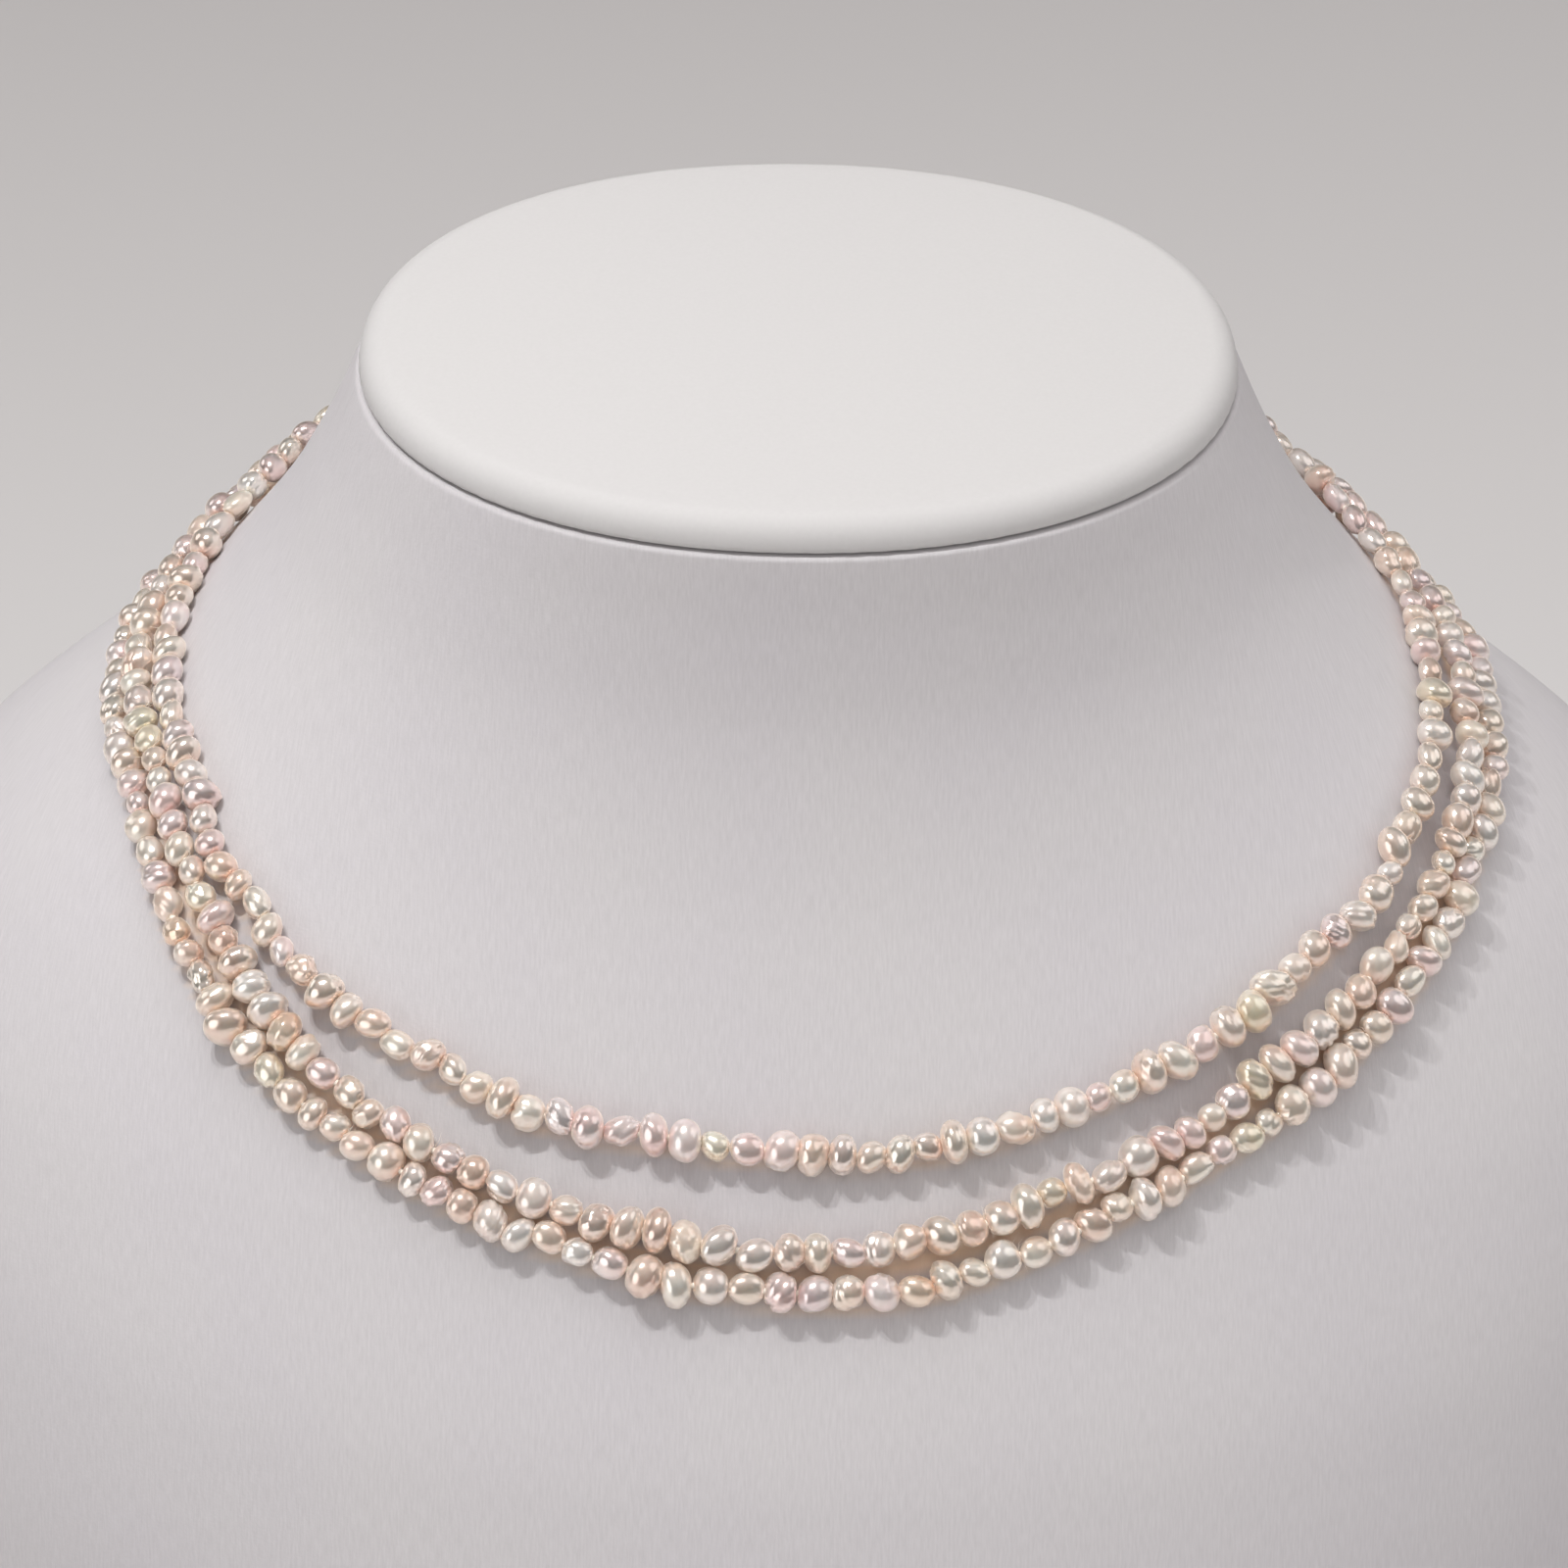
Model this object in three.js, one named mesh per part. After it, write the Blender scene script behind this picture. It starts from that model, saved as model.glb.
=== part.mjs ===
// A three-strand necklace of baby pearls, worn on the padded neck bust that displays it.
// Millimetres, +Z up, +X to the wearer's left as seen from the front, -Y to the front.
// The origin is under the middle of the bust's flat base.
import * as THREE from "three";

// Bust: its height, and the oval pad that closes the neck.
const BUST_HEIGHT = 205;
const PAD_HALF_WIDTH = 49.6;
const PAD_HALF_DEPTH = 47.8;
const PAD_ROUNDING = 3.2; // radius of the pad's upper edge
const PAD_ROUNDING_STEPS = 3;
const PAD_LOWER_BEVEL = 0.5;
const PAD_CROWN = 0.8; // how far the padding swells above its edge
const SEAM_GAP = 0.3; // between the pad and the neck under it
const PAD_SWELL_INSETS = [0.35, 0.7]; // of the two rings inside the edge, as shares of the half depth
const OVAL_POWER = 2.1; // 2 is an ellipse, and more is squarer
const BUST_SIDES = 36;
const BUST_STEPS = 21;
const BUST_STEP_POWER = 1.35; // over 1 sets the rings closer where the neck flares

// Horizontal sections of the neck and chest: how far each lies below the top of the pad,
// and how far it reaches from the neck's axis to each side, to the front and to the back.
const SECTIONS = [
  { drop: 5, side: 49.9, front: 48.1, back: 48.1 },
  { drop: 15, side: 54.5, front: 49.3, back: 48 },
  { drop: 25, side: 60.5, front: 51.5, back: 48 },
  { drop: 35, side: 69.3, front: 55.5, back: 50 },
  { drop: 45, side: 80.6, front: 61, back: 55 },
  { drop: 60, side: 98.5, front: 71.5, back: 62 },
  { drop: 75, side: 110, front: 83, back: 65.5 },
  { drop: 95, side: 117, front: 97, back: 67.6 },
  { drop: 120, side: 120, front: 108, back: 68 },
  { drop: 155, side: 117, front: 112, back: 66 },
  { drop: 205, side: 102, front: 102, back: 60 },
];
const FRONT_REACH = 112; // the bust's deepest section, to the front and to the back
const BACK_REACH = 68;

// Pearls: the mean and the spread of their length along the thread and of their radius.
const PEARL_PITCH = 3.43;
const PEARL_PITCH_SPREAD = 0.55;
const PEARL_RADIUS = 1.9;
const PEARL_RADIUS_SPREAD = 0.15;
const PEARL_SEEDS = { inner: 101, outer: 303 }; // each string's own order of pearls
const PEARL_SIDES = 10;
const PEARL_SHOULDER = 0.24; // where a pearl is widest, as a share of its length from its middle
const DRILL_SIDES = 3;
const DRILL_RADIUS = 0.55; // the waist between two pearls, round the thread
const STRAND_LIFT = 2.35; // from the bust's surface to the thread
const TUBE_SIDES = 8; // the middle strand is a plain tube of the pearls' mean radius
const TUBE_STEPS = 80;

// How far below the top of the pad each strand lies, by the angle round the neck:
// 0 is the front, 90 the wearer's left and 180 the nape. The strands hang a little unevenly.
const ROUTES = [
  { angle: -180, inner: 20, middle: 24.6, outer: 29.2 },
  { angle: -150, inner: 21.4, middle: 26.1, outer: 30.8 },
  { angle: -120, inner: 25, middle: 29.9, outer: 34.7 },
  { angle: -105, inner: 29.8, middle: 34, outer: 38.2 },
  { angle: -90, inner: 34.4, middle: 37.7, outer: 41.1 },
  { angle: -75, inner: 37.5, middle: 40.5, outer: 43.6 },
  { angle: -60, inner: 40.9, middle: 44.1, outer: 47.2 },
  { angle: -45, inner: 47.4, middle: 50.9, outer: 54.4 },
  { angle: -30, inner: 54.8, middle: 60, outer: 63.6 },
  { angle: -15, inner: 61.6, middle: 67.9, outer: 71.4 },
  { angle: 0, inner: 63.4, middle: 71.8, outer: 75.3 },
  { angle: 15, inner: 61, middle: 67.5, outer: 71.1 },
  { angle: 30, inner: 55.1, middle: 59.8, outer: 63.4 },
  { angle: 45, inner: 49.2, middle: 52.7, outer: 56.1 },
  { angle: 60, inner: 43.6, middle: 46.8, outer: 49.9 },
  { angle: 75, inner: 39.3, middle: 42.4, outer: 45.5 },
  { angle: 90, inner: 35.4, middle: 38.7, outer: 42 },
  { angle: 105, inner: 30.9, middle: 34.9, outer: 38.8 },
  { angle: 120, inner: 26.9, middle: 31.4, outer: 35.8 },
  { angle: 150, inner: 22.2, middle: 26.9, outer: 31.6 },
  { angle: 180, inner: 20, middle: 24.6, outer: 29.2 },
];
const ROUTE_POINTS = 181;

// Clasp: a plain three-row box at the nape.
const CLASP_WIDTH = 11;
const CLASP_HEIGHT = 14;
const CLASP_THICKNESS = 3.2;
const CLASP_BEVEL = 0.6;
const CLASP_GAP = 0.35; // to the neck, and to each strand's end

const AXIS_Y = (FRONT_REACH - BACK_REACH) / 2; // the neck's axis, behind the middle of the base

const materials = {
  cloth: new THREE.MeshStandardMaterial({ color: 0xe6e3e6, roughness: 0.75, metalness: 0 }),
  pad: new THREE.MeshStandardMaterial({ color: 0xf0eeec, roughness: 0.7, metalness: 0 }),
  pearl: new THREE.MeshStandardMaterial({ color: 0xf4e4dc, roughness: 0.25, metalness: 0.1 }),
  silver: new THREE.MeshStandardMaterial({ color: 0xd8d8dc, roughness: 0.25, metalness: 1 }),
};

// A smooth curve through a table's column: cubic pieces whose slope at each row is the
// slope between the rows beside it.
function readTable(table, key, column, at) {
  const last = table.length - 1;
  const slope = (i) => {
    const before = table[Math.max(i - 1, 0)];
    const after = table[Math.min(i + 1, last)];
    return (after[column] - before[column]) / (after[key] - before[key]);
  };
  let i = 0;
  while (i < last - 1 && at > table[i + 1][key]) i += 1;
  const step = table[i + 1][key] - table[i][key];
  const t = THREE.MathUtils.clamp((at - table[i][key]) / step, 0, 1);
  const rise = table[i + 1][column] - table[i][column];
  const bend = t * (1 - t) * ((1 - t) * (slope(i) * step - rise) + t * (rise - slope(i + 1) * step));
  return table[i][column] + t * rise + bend;
}

// A point of an upright oval: x to the side, y to the back, at an angle from the front.
function ovalPoint(angle, side, front, back, z) {
  const power = 2 / OVAL_POWER;
  const sine = Math.sin(angle);
  const cosine = Math.cos(angle);
  const depth = cosine > 0 ? front : back;
  const x = side * Math.sign(sine) * Math.abs(sine) ** power;
  const y = -depth * Math.sign(cosine) * Math.abs(cosine) ** power;
  return new THREE.Vector3(x, y + AXIS_Y, z);
}

function bustPoint(angle, drop) {
  const side = readTable(SECTIONS, "drop", "side", drop);
  const front = readTable(SECTIONS, "drop", "front", drop);
  const back = readTable(SECTIONS, "drop", "back", drop);
  return ovalPoint(angle, side, front, back, BUST_HEIGHT - drop);
}

function bustNormal(angle, drop) {
  const step = 0.01;
  const across = bustPoint(angle + step, drop).sub(bustPoint(angle - step, drop));
  const down = bustPoint(angle, drop + 1).sub(bustPoint(angle, drop - 1));
  return down.cross(across).normalize();
}

// One closed skin over a row of rings, which may differ in their number of points: each
// band takes its next triangle from the ring that lags behind, and both ends are closed.
function skin(rings) {
  const starts = [];
  const points = [];
  rings.forEach((ring) => {
    starts.push(points.length);
    points.push(...ring);
  });
  const index = [];
  for (let r = 0; r + 1 < rings.length; r += 1) {
    const lower = rings[r].length;
    const upper = rings[r + 1].length;
    let a = 0;
    let b = 0;
    while (a < lower || b < upper) {
      const here = starts[r] + (a % lower);
      const there = starts[r + 1] + (b % upper);
      if (b === upper || (a < lower && (a + 0.5) / lower <= (b + 0.5) / upper)) {
        a += 1;
        index.push(here, starts[r] + (a % lower), there);
      } else {
        b += 1;
        index.push(here, starts[r + 1] + (b % upper), there);
      }
    }
  }
  const first = starts[0];
  const last = starts[rings.length - 1];
  for (let i = 1; i + 1 < rings[0].length; i += 1) {
    index.push(first, first + i + 1, first + i);
  }
  for (let i = 1; i + 1 < rings[rings.length - 1].length; i += 1) {
    index.push(last, last + i, last + i + 1);
  }
  const geometry = new THREE.BufferGeometry().setFromPoints(points);
  geometry.setIndex(index);
  geometry.computeVertexNormals();
  return geometry;
}

function ovalRing(pointAt) {
  return Array.from({ length: BUST_SIDES }, (_, i) => pointAt((2 * Math.PI * i) / BUST_SIDES));
}

// The neck and chest, from the flat base up to the seam under the pad.
function makeBust() {
  const rings = [];
  for (let i = BUST_STEPS; i >= 0; i -= 1) {
    const share = (i / BUST_STEPS) ** BUST_STEP_POWER;
    const drop = THREE.MathUtils.lerp(SECTIONS[0].drop, BUST_HEIGHT, share);
    rings.push(ovalRing((angle) => bustPoint(angle, drop)));
  }
  return skin(rings);
}

// The pad on top of the neck: a rounded edge, and a top that swells a little to its middle.
function makePad() {
  const under = BUST_HEIGHT - SECTIONS[0].drop + SEAM_GAP;
  const edge = BUST_HEIGHT - PAD_CROWN;
  const oval = (inset, z) => {
    const side = PAD_HALF_WIDTH - inset;
    const depth = PAD_HALF_DEPTH - inset;
    return ovalRing((angle) => ovalPoint(angle, side, depth, depth, z));
  };
  const rings = [oval(PAD_LOWER_BEVEL, under), oval(0, under + PAD_LOWER_BEVEL)];
  for (let i = 0; i <= PAD_ROUNDING_STEPS; i += 1) {
    const turn = (i / PAD_ROUNDING_STEPS) * (Math.PI / 2);
    const inset = PAD_ROUNDING * (1 - Math.cos(turn));
    rings.push(oval(inset, edge - PAD_ROUNDING * (1 - Math.sin(turn))));
  }
  PAD_SWELL_INSETS.forEach((share) => {
    const swell = PAD_CROWN * Math.sin((share / PAD_SWELL_INSETS[1]) * (Math.PI / 2));
    rings.push(oval(PAD_HALF_DEPTH * share, edge + swell));
  });
  return skin(rings);
}

// The thread of one strand: from the clasp round the wearer's left, the front and the
// wearer's right, and back to the clasp.
function strandRoute(name) {
  const nape = readTable(ROUTES, "angle", name, 180);
  const claspEnd = CLASP_WIDTH / 2 + CLASP_GAP;
  const sine = (claspEnd / readTable(SECTIONS, "drop", "side", nape)) ** (OVAL_POWER / 2);
  const start = 180 - THREE.MathUtils.radToDeg(Math.asin(sine));
  const points = Array.from({ length: ROUTE_POINTS }, (_, i) => {
    const angle = THREE.MathUtils.lerp(start, -start, i / (ROUTE_POINTS - 1));
    const drop = readTable(ROUTES, "angle", name, angle);
    const radians = THREE.MathUtils.degToRad(angle);
    return bustPoint(radians, drop).addScaledVector(bustNormal(radians, drop), STRAND_LIFT);
  });
  const route = new THREE.CatmullRomCurve3(points);
  route.arcLengthDivisions = 2000;
  return route;
}

// Park and Miller's random numbers, so that each strand's pearls are always the same.
function randomNumbers(seed) {
  let state = seed;
  return () => {
    state = (state * 16807) % 2147483647;
    return state / 2147483647;
  };
}

// Each pearl's length along the thread and its radius, fitted to the strand's length.
function strandPearls(length, seed) {
  const random = randomNumbers(seed);
  const count = Math.round(length / PEARL_PITCH);
  const pearls = Array.from({ length: count }, () => ({
    length: PEARL_PITCH + PEARL_PITCH_SPREAD * (2 * random() - 1),
    radius: PEARL_RADIUS + PEARL_RADIUS_SPREAD * (2 * random() - 1),
  }));
  const total = pearls.reduce((sum, pearl) => sum + pearl.length, 0);
  pearls.forEach((pearl) => {
    pearl.length *= length / total;
  });
  return pearls;
}

// A ring of points square to the route at a distance along it.
function routeRing(route, along, radius, sides, turn) {
  const centre = route.getPointAt(THREE.MathUtils.clamp(along, 0, 1));
  const tangent = route.getTangentAt(THREE.MathUtils.clamp(along, 0, 1));
  const across = new THREE.Vector3(0, 0, 1).cross(tangent).normalize();
  const up = tangent.clone().cross(across);
  return Array.from({ length: sides }, (_, i) => {
    const angle = (2 * Math.PI * (i + turn)) / sides;
    return centre
      .clone()
      .addScaledVector(across, radius * Math.cos(angle))
      .addScaledVector(up, radius * Math.sin(angle));
  });
}

// A string of pearls as one body: each pearl has two rings of points, turned by half a
// side against each other, between narrow waists round the thread.
function makePearlStrand(name, seed) {
  const route = strandRoute(name);
  const length = route.getLength();
  const rings = [routeRing(route, 0, DRILL_RADIUS, DRILL_SIDES, 0)];
  let start = 0;
  strandPearls(length, seed).forEach((pearl) => {
    const middle = start + pearl.length / 2;
    const shoulder = PEARL_SHOULDER * pearl.length;
    const before = (middle - shoulder) / length;
    const after = (middle + shoulder) / length;
    start += pearl.length;
    rings.push(routeRing(route, before, pearl.radius, PEARL_SIDES, 0));
    rings.push(routeRing(route, after, pearl.radius, PEARL_SIDES, 0.5));
    rings.push(routeRing(route, start / length, DRILL_RADIUS, DRILL_SIDES, 0));
  });
  return skin(rings);
}

// A strand as a plain tube of the pearls' mean radius.
function makeTubeStrand(name) {
  const corners = Array.from({ length: TUBE_SIDES }, (_, i) => {
    const angle = (2 * Math.PI * i) / TUBE_SIDES;
    return new THREE.Vector2(PEARL_RADIUS * Math.cos(angle), PEARL_RADIUS * Math.sin(angle));
  });
  const outline = new THREE.Shape(corners);
  return new THREE.ExtrudeGeometry(outline, { steps: TUBE_STEPS, extrudePath: strandRoute(name) });
}

// The clasp lies in its own XY plane, with its thickness along Z.
function makeClasp() {
  const halfWidth = CLASP_WIDTH / 2 - CLASP_BEVEL;
  const halfHeight = CLASP_HEIGHT / 2 - CLASP_BEVEL;
  const outline = new THREE.Shape()
    .moveTo(-halfWidth, -halfHeight)
    .lineTo(halfWidth, -halfHeight)
    .lineTo(halfWidth, halfHeight)
    .lineTo(-halfWidth, halfHeight)
    .closePath();
  const geometry = new THREE.ExtrudeGeometry(outline, {
    depth: CLASP_THICKNESS - 2 * CLASP_BEVEL,
    bevelThickness: CLASP_BEVEL,
    bevelSize: CLASP_BEVEL,
    bevelSegments: 2,
  });
  return geometry.translate(0, 0, CLASP_BEVEL - CLASP_THICKNESS / 2);
}

function addMesh(group, name, geometry, material) {
  const mesh = new THREE.Mesh(geometry, material);
  mesh.name = name;
  group.add(mesh);
  return mesh;
}

const necklaceOnBust = new THREE.Group();
addMesh(necklaceOnBust, "bust_body", makeBust(), materials.cloth);
addMesh(necklaceOnBust, "bust_cap", makePad(), materials.pad);
addMesh(necklaceOnBust, "strand_inner", makePearlStrand("inner", PEARL_SEEDS.inner), materials.pearl);
addMesh(necklaceOnBust, "strand_middle", makeTubeStrand("middle"), materials.pearl);
addMesh(necklaceOnBust, "strand_outer", makePearlStrand("outer", PEARL_SEEDS.outer), materials.pearl);

const clasp = addMesh(necklaceOnBust, "clasp", makeClasp(), materials.silver);
const claspDrop = readTable(ROUTES, "angle", "middle", 180);
const claspLow = bustPoint(Math.PI, claspDrop + CLASP_HEIGHT / 2);
clasp.position.set(0, claspLow.y + CLASP_GAP + CLASP_THICKNESS / 2, BUST_HEIGHT - claspDrop);
clasp.rotation.x = Math.PI / 2;

export default necklaceOnBust;
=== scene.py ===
import math

import bpy
import numpy as np
from mathutils import Matrix, Vector


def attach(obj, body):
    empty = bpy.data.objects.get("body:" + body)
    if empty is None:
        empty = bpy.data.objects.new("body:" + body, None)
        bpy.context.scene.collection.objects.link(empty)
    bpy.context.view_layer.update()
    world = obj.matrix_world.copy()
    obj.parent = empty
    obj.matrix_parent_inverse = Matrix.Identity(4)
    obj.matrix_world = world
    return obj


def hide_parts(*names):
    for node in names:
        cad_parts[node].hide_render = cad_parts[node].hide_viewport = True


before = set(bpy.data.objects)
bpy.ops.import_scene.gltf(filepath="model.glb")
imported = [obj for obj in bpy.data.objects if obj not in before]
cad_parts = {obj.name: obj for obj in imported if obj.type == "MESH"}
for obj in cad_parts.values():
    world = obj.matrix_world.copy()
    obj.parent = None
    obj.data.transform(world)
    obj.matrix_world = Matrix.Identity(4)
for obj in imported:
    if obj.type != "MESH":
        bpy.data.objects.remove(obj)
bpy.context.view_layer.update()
mm = 0.001

# everything is in metres and in the frame's own axes: -Y is the front, +X the wearer's left, Z up.
# an angle round the neck is 0 at the front, 90 at the wearer's left and 180 at the nape, and a drop
# is in mm below the top of the cap.

camera = {
    "target": (-1.06 * mm, -8 * mm, 162 * mm),
    "distance": 0.65,
    "elevation": 30,     # degrees above the horizon
    "roll": 0.68,        # degrees, the right-hand side lower
    "lens": 133.2,
    "clip": (0.01, 50),
}


def makeCamera():
    # looks at the target from the front, then rolls about its own line of sight
    tilt = math.radians(camera["elevation"])
    back = Vector((0, -math.cos(tilt), math.sin(tilt)))
    data = bpy.data.cameras.new("camera")
    data.lens = camera["lens"]
    data.clip_start, data.clip_end = camera["clip"]
    made = bpy.data.objects.new("camera", data)
    bpy.context.scene.collection.objects.link(made)
    turn = (-back).to_track_quat("-Z", "Y").to_matrix()
    turn = turn @ Matrix.Rotation(math.radians(camera["roll"]), 3, "Z")
    place = Vector(camera["target"]) + back * camera["distance"]
    made.matrix_world = Matrix.Translation(place) @ turn.to_4x4()
    bpy.context.scene.camera = made


makeCamera()
print("camera made")


def linearColor(hexText):
    # sRGB hex to linear light: the low end is a straight line, the rest a power of 2.4
    parts = np.array([int(hexText[i:i + 2], 16) for i in (0, 2, 4)]) / 255
    made = np.where(parts <= 0.04045, parts / 12.92, ((parts + 0.055) / 1.055) ** 2.4)
    return (*made.tolist(), 1.0)


def readTable(table, key, column, at):
    # cubic pieces whose slope at each row is the slope between the rows beside it
    rows = np.array(table[key], float)
    values = np.array(table[column], float)
    order = np.arange(len(rows))
    before, after = np.maximum(order - 1, 0), np.minimum(order + 1, len(rows) - 1)
    slope = (values[after] - values[before]) / (rows[after] - rows[before])
    i = np.clip(np.searchsorted(rows, at, side="left") - 1, 0, len(rows) - 2)
    step = rows[i + 1] - rows[i]
    t = np.clip((at - rows[i]) / step, 0, 1)
    rise = values[i + 1] - values[i]
    bend = t * (1 - t) * ((1 - t) * (slope[i] * step - rise) + t * (rise - slope[i + 1] * step))
    return values[i] + t * rise + bend


def smoothStep(low, high, at):
    # 0 below low, 1 above high, and 3t2 - 2t3 between them
    t = np.clip((at - low) / (high - low), 0, 1)
    return t * t * (3 - 2 * t)


def bell(offset, width):
    # e to the minus (offset / width) squared
    return np.exp(-(offset / width) ** 2)


def unit(vectors):
    # each vector over its own length
    return vectors / np.linalg.norm(vectors, axis=-1, keepdims=True)


def lengthAlong(points):
    # the way along a row of points up to each of them
    steps = np.linalg.norm(np.diff(points, axis=0), axis=1)
    return np.concatenate([[0], np.cumsum(steps)])


def makeMesh(name, points, faces, uv=None):
    # smooth-shaded, with its place in its points, so the object itself stays at the origin
    mesh = bpy.data.meshes.new(name)
    mesh.from_pydata(points.reshape(-1, 3).tolist(), [], faces)
    if uv is not None:
        mesh.uv_layers.new(name="cloth").data.foreach_set("uv", uv.reshape(-1).astype(np.float32))
    mesh.polygons.foreach_set("use_smooth", np.ones(len(mesh.polygons), bool))
    mesh.update()
    made = bpy.data.objects.new(name, mesh)
    bpy.context.scene.collection.objects.link(made)
    return made


def addNumbers(made, name, numbers):
    # one number for each vertex, which a material reads by name
    layer = made.data.attributes.new(name, "FLOAT", "POINT")
    layer.data.foreach_set("value", numbers.reshape(-1).astype(np.float32))


def ringFaces(rows, columns):
    # quads between each two rows of points, with the last column joined to the first
    row, column = np.meshgrid(np.arange(rows - 1), np.arange(columns), indexing="ij")
    nextColumn = (column + 1) % columns
    corners = [row * columns + column, row * columns + nextColumn,
               (row + 1) * columns + nextColumn, (row + 1) * columns + column]
    return np.stack(corners, axis=-1).reshape(-1, 4)


def copiedFaces(kinds, count, size):
    # the same quads and triangles for each of count shapes, each shape having size vertices
    offset = (np.arange(count) * size)[:, None, None]
    faces = []
    for kind in kinds:
        faces += (kind[None] + offset).reshape(-1, kind.shape[1]).tolist()
    return faces


def addNode(tree, kind, settings=None, links=None):
    # settings name the node's own values or its inputs, and links name the inputs that read other sockets
    node = tree.nodes.new(kind)
    for name, value in (settings or {}).items():
        if name in node.inputs:
            node.inputs[name].default_value = value
        else:
            setattr(node, name, value)
    for name, socket in (links or {}).items():
        tree.links.new(socket, node.inputs[name])
    return node


def newMaterial(name):
    material = bpy.data.materials.new(name)
    material.use_nodes = True
    material.node_tree.nodes.clear()
    return material, material.node_tree


def finishMaterial(tree, surface):
    addNode(tree, "ShaderNodeOutputMaterial", None, {"Surface": surface})


bust = {
    "height": 205 * mm,
    "axisY": 22 * mm,       # the neck's axis, behind the middle of the base
    "ovalPower": 2.1,       # 2 is an ellipse, and more is squarer
    "columns": 380,
    "rows": 230,
    "rowPower": 1.35,       # over 1 sets the rows closer where the neck flares
    "rimRadius": 0.4,       # mm, the covering turned over the neck's upper edge
    "footRadius": 2.5,      # mm
    "puckerDepth": 0.06 * mm,
    "puckerFade": 3.5,      # mm below the seam in which the puckers fade to a third
    "puckers": 74,
    "puckerDrift": 1.3,     # radians that the puckers drift to and fro, five times round the neck
    "puckerDrifts": 5,
    "puckerGroups": 3,      # waves of strong and weak puckers round the neck
    "groupTurn": 0.7,       # radians from the front to the first group
    # painted light: a warm tone is mixed into the covering's colour below each string, in place of light that
    # comes through the pearls. mm below a string's line over which it sets in, and for each string where it
    # starts and ends its fade, and how strong it is. it is strongest between the two lower strings
    "paintedWarmRise": (0.3, 1.5),
    "paintedWarm": {"inner": (1.3, 2.4, 0.45), "middle": (2.2, 3.8, 0.75), "outer": (1.4, 2.5, 0.5)},
}

# mm below the top of the cap, and mm from the neck's axis to each side, to the front and to the back
bustSections = {
    "drop": [5, 15, 25, 35, 45, 60, 75, 95, 120, 155, 205],
    "side": [49.9, 54.5, 60.5, 69.3, 80.6, 98.5, 110, 117, 120, 117, 102],
    "front": [48.1, 49.3, 51.5, 55.5, 61, 71.5, 83, 97, 108, 112, 102],
    "back": [48.1, 48, 48, 50, 55, 62, 65.5, 67.6, 68, 66, 60],
}


def ovalPoints(angle, side, front, back, z):
    # a squared-off ellipse: the sine and the cosine each to the power 2 / ovalPower
    power = 2 / bust["ovalPower"]
    sine, cosine = np.sin(angle), np.cos(angle)
    depth = np.where(cosine > 0, front, back)
    x = side * np.sign(sine) * np.abs(sine) ** power
    y = -depth * np.sign(cosine) * np.abs(cosine) ** power
    return np.stack(np.broadcast_arrays(x, y + bust["axisY"], z), axis=-1)


def bustPoints(angle, drop, inset=0.0):
    # the sections' sizes at each drop, less the inset, on the squared-off ellipse
    side, front, back = (readTable(bustSections, "drop", column, drop) * mm - inset
                         for column in ("side", "front", "back"))
    return ovalPoints(angle, side, front, back, bust["height"] - drop * mm)


def bustNormals(angle, drop, angleStep=0.01, dropStep=1):
    # square to the ways across and down the wall, each taken between points one step to either side:
    # 0.01 radians round the neck, and 1 mm down it
    across = bustPoints(angle + angleStep, drop) - bustPoints(angle - angleStep, drop)
    down = bustPoints(angle, drop + dropStep) - bustPoints(angle, drop - dropStep)
    return unit(np.cross(down, across))


def paintWarmLight(points, angle, drop):
    # painted light: the share of warm tone painted on the covering below each string, in place of light
    # through the pearls
    # the distance square to each string from its own point at the same angle, taken as positive below it,
    # goes through two smooth steps, and the strongest string counts
    paintedWarmth = np.zeros(points.shape[:2])
    for name in strings:
        level = readTable(routes, "angle", name, (np.degrees(angle) + 180) % 360 - 180)
        line = bustPoints(angle, level)
        along = unit(np.roll(line, -1, axis=0) - np.roll(line, 1, axis=0))
        offset = points - line[None]
        square = offset - along[None] * np.sum(offset * along[None], axis=2, keepdims=True)
        below = np.linalg.norm(square, axis=2) / mm * np.sign(drop[:, None] - level[None])
        near, far, strength = bust["paintedWarm"][name]
        edge = smoothStep(*bust["paintedWarmRise"], below) * (1 - smoothStep(near, far, below))
        paintedWarmth = np.maximum(paintedWarmth, strength * edge)
    return paintedWarmth


def bustInsets(angle, drop, top, foot):
    # rims: a quarter circle of the rim's radius draws each end of the wall in
    fromTop = np.clip(1 - (drop - top) / bust["rimRadius"], 0, 1)
    fromFoot = np.clip(1 - (foot - drop) / bust["footRadius"], 0, 1)
    inset = (bust["rimRadius"] * (1 - np.sqrt(1 - fromTop ** 2))
             + bust["footRadius"] * (1 - np.sqrt(1 - fromFoot ** 2)))
    # puckers: the covering gathers a little under the seam, in a sine whose place drifts and whose
    # depth comes and goes round the neck
    fade = np.exp(-(drop - top) / bust["puckerFade"])
    drift = bust["puckerDrift"] * np.sin(bust["puckerDrifts"] * angle)
    groups = np.sin(bust["puckerGroups"] * angle + bust["groupTurn"])
    gather = np.sin(bust["puckers"] * angle + drift) * groups
    return inset * mm + bust["puckerDepth"] * fade * gather


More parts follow.
